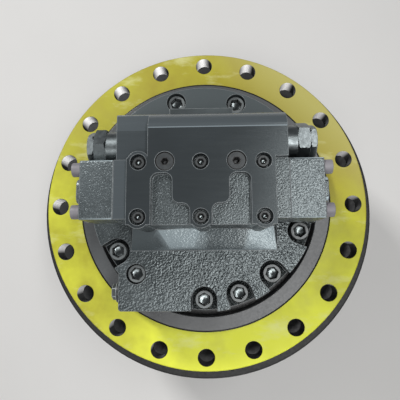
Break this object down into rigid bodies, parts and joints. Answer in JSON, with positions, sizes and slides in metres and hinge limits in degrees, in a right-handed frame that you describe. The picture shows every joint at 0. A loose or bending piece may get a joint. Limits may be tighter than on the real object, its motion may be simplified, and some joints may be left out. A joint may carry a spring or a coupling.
{
  "type": "excavator final drive",
  "caption": "Excavator final drive: round frame flange and hydraulic piston motor with valve block, two planetary stages in a turning hub with a sprocket flange.",
  "frame": {"origin": "centre of the frame flange's mounting face", "axes": "+Z along the drive axis towards the motor end, +X to the right and +Y to the back of the valve block as pictured"},
  "size_m": [0.5699, 0.57, 0.576],
  "materials": {
    "case_finish": "machined flange under a yellow preservative coat, dark grey paint elsewhere",
    "dark_paint": "dark grey paint on rough castings",
    "screw_steel": "black oxide steel",
    "valve_steel": "phosphated steel",
    "gear_steel": "ground gear steel",
    "cast_iron": "machined cast iron",
    "bronze": "bearing bronze",
    "friction": "friction lining on steel",
    "seal_rubber": "oil resistant rubber"
  },
  "bodies": {
    "case": {"motor_case": "case_finish", "end_cover": "dark_paint", "end_cover_screws": "screw_steel", "valve_block": "dark_paint", "valve_block_screws": "screw_steel", "valve_block_plugs": "valve_steel", "spool_caps": "dark_paint", "spool_cap_screws": "valve_steel", "relief_valves": "valve_steel", "relief_locknuts": "screw_steel", "side_plug": "screw_steel", "swash_plate": "cast_iron", "valve_plate": "bronze", "brake_separator_plates": "gear_steel", "brake_spring": "gear_steel", "shaft_bearings": "gear_steel", "shaft_seal": "seal_rubber", "bearing_inner_rings": "gear_steel", "bearing_nut": "gear_steel", "fixed_seal_ring": "gear_steel", "carrier_2": "cast_iron", "carrier_2_screws": "screw_steel", "planet_pins_2": "gear_steel", "spool_springs": "gear_steel"},
    "hub_drum": {"hub": "dark_paint", "bearing_outer_rings": "gear_steel", "ring_gear": "dark_paint", "gear_cover": "dark_paint", "cover_bolts": "screw_steel", "oil_plugs": "screw_steel", "turning_seal_ring": "gear_steel", "thrust_pad": "bronze"},
    "rolling_set": {"bearing_rollers": "gear_steel"},
    "first_carrier": {"carrier_1": "cast_iron", "planet_pins_1": "gear_steel", "sun_gear_2": "gear_steel"},
    "rotor": {"drive_shaft": "gear_steel", "sun_gear_1": "gear_steel", "cylinder_block": "cast_iron", "brake_friction_discs": "friction"},
    "shoe_set": {"retainer_plate": "gear_steel", "piston_shoes": "bronze"},
    "spool": {"counterbalance_spool": "gear_steel"},
    "brake_ram": {"brake_piston": "cast_iron"},
    "planet_1a": {"planet_1_a": "gear_steel"},
    "planet_1b": {"planet_1_b": "gear_steel"},
    "planet_1c": {"planet_1_c": "gear_steel"},
    "planet_2a": {"planet_2_a": "gear_steel"},
    "planet_2b": {"planet_2_b": "gear_steel"},
    "planet_2c": {"planet_2_c": "gear_steel"},
    "ram_1": {"piston_1": "gear_steel"},
    "ram_2": {"piston_2": "gear_steel"},
    "ram_3": {"piston_3": "gear_steel"},
    "ram_4": {"piston_4": "gear_steel"},
    "ram_5": {"piston_5": "gear_steel"},
    "ram_6": {"piston_6": "gear_steel"},
    "ram_7": {"piston_7": "gear_steel"}
  },
  "joints": [
    {"name": "hub_spin", "type": "hinge", "parent": "case", "child": "hub_drum", "pos_m": [0, 0, -0.126], "axis": [0, 0, 1], "continuous": true},
    {"name": "roller_spin", "type": "hinge", "parent": "case", "child": "rolling_set", "pos_m": [0, 0, -0.126], "axis": [0, 0, 1], "continuous": true},
    {"name": "carrier_spin", "type": "hinge", "parent": "case", "child": "first_carrier", "pos_m": [0, 0, -0.3], "axis": [0, 0, 1], "continuous": true},
    {"name": "rotor_spin", "type": "hinge", "parent": "case", "child": "rotor", "pos_m": [0, 0, 0], "axis": [0, 0, 1], "continuous": true},
    {"name": "shoe_spin", "type": "hinge", "parent": "case", "child": "shoe_set", "pos_m": [0, 0, -0.055], "axis": [0, -0.1736, 0.9848], "continuous": true},
    {"name": "planet_1a_spin", "type": "hinge", "parent": "first_carrier", "child": "planet_1a", "pos_m": [0.054, 0.09353, -0.303], "axis": [0, 0, 1], "continuous": true},
    {"name": "planet_1b_spin", "type": "hinge", "parent": "first_carrier", "child": "planet_1b", "pos_m": [-0.108, 0, -0.303], "axis": [0, 0, 1], "continuous": true},
    {"name": "planet_1c_spin", "type": "hinge", "parent": "first_carrier", "child": "planet_1c", "pos_m": [0.054, -0.09353, -0.303], "axis": [0, 0, 1], "continuous": true},
    {"name": "planet_2a_spin", "type": "hinge", "parent": "case", "child": "planet_2a", "pos_m": [0.108, 0, -0.231], "axis": [0, 0, 1], "continuous": true},
    {"name": "planet_2b_spin", "type": "hinge", "parent": "case", "child": "planet_2b", "pos_m": [-0.054, 0.09353, -0.231], "axis": [0, 0, 1], "continuous": true},
    {"name": "planet_2c_spin", "type": "hinge", "parent": "case", "child": "planet_2c", "pos_m": [-0.054, -0.09353, -0.231], "axis": [0, 0, 1], "continuous": true},
    {"name": "piston_1_roll", "type": "hinge", "parent": "shoe_set", "child": "ram_1", "pos_m": [0.048, 0, -0.055], "axis": [0, -0.1736, 0.9848], "continuous": true},
    {"name": "piston_2_roll", "type": "hinge", "parent": "shoe_set", "child": "ram_2", "pos_m": [0.02993, 0.03696, -0.04848], "axis": [0, -0.1736, 0.9848], "continuous": true},
    {"name": "piston_3_roll", "type": "hinge", "parent": "shoe_set", "child": "ram_3", "pos_m": [-0.01068, 0.04609, -0.04687], "axis": [0, -0.1736, 0.9848], "continuous": true},
    {"name": "piston_4_roll", "type": "hinge", "parent": "shoe_set", "child": "ram_4", "pos_m": [-0.04325, 0.02051, -0.05138], "axis": [0, -0.1736, 0.9848], "continuous": true},
    {"name": "piston_5_roll", "type": "hinge", "parent": "shoe_set", "child": "ram_5", "pos_m": [-0.04325, -0.02051, -0.05862], "axis": [0, -0.1736, 0.9848], "continuous": true},
    {"name": "piston_6_roll", "type": "hinge", "parent": "shoe_set", "child": "ram_6", "pos_m": [-0.01068, -0.04609, -0.06313], "axis": [0, -0.1736, 0.9848], "continuous": true},
    {"name": "piston_7_roll", "type": "hinge", "parent": "shoe_set", "child": "ram_7", "pos_m": [0.02993, -0.03696, -0.06152], "axis": [0, -0.1736, 0.9848], "continuous": true},
    {"name": "spool_slide", "type": "slide", "parent": "case", "child": "spool", "axis": [1, 0, 0], "range_m": [-0.01, 0.01], "stiffness_N_per_m": 5000, "deforming": ["spool_springs"]},
    {"name": "brake_release", "type": "slide", "parent": "case", "child": "brake_ram", "axis": [0, 0, 1], "range_m": [0, 0.002], "stiffness_N_per_m": 5000, "springref_m": -0.004, "deforming": ["brake_spring"]}
  ],
  "couplings": [
    {"joint": "roller_spin", "follows": "hub_spin", "ratio": 0.52059},
    {"joint": "carrier_spin", "follows": "hub_spin", "ratio": -5},
    {"joint": "rotor_spin", "follows": "hub_spin", "ratio": -35},
    {"joint": "shoe_spin", "follows": "hub_spin", "ratio": -35},
    {"joint": "planet_1a_spin", "follows": "hub_spin", "ratio": 15},
    {"joint": "planet_1b_spin", "follows": "hub_spin", "ratio": 15},
    {"joint": "planet_1c_spin", "follows": "hub_spin", "ratio": 15},
    {"joint": "planet_2a_spin", "follows": "hub_spin", "ratio": 2.5},
    {"joint": "planet_2b_spin", "follows": "hub_spin", "ratio": 2.5},
    {"joint": "planet_2c_spin", "follows": "hub_spin", "ratio": 2.5},
    {"joint": "piston_1_roll", "follows": "hub_spin", "ratio": 35},
    {"joint": "piston_2_roll", "follows": "hub_spin", "ratio": 35},
    {"joint": "piston_3_roll", "follows": "hub_spin", "ratio": 35},
    {"joint": "piston_4_roll", "follows": "hub_spin", "ratio": 35},
    {"joint": "piston_5_roll", "follows": "hub_spin", "ratio": 35},
    {"joint": "piston_6_roll", "follows": "hub_spin", "ratio": 35},
    {"joint": "piston_7_roll", "follows": "hub_spin", "ratio": 35}
  ]
}
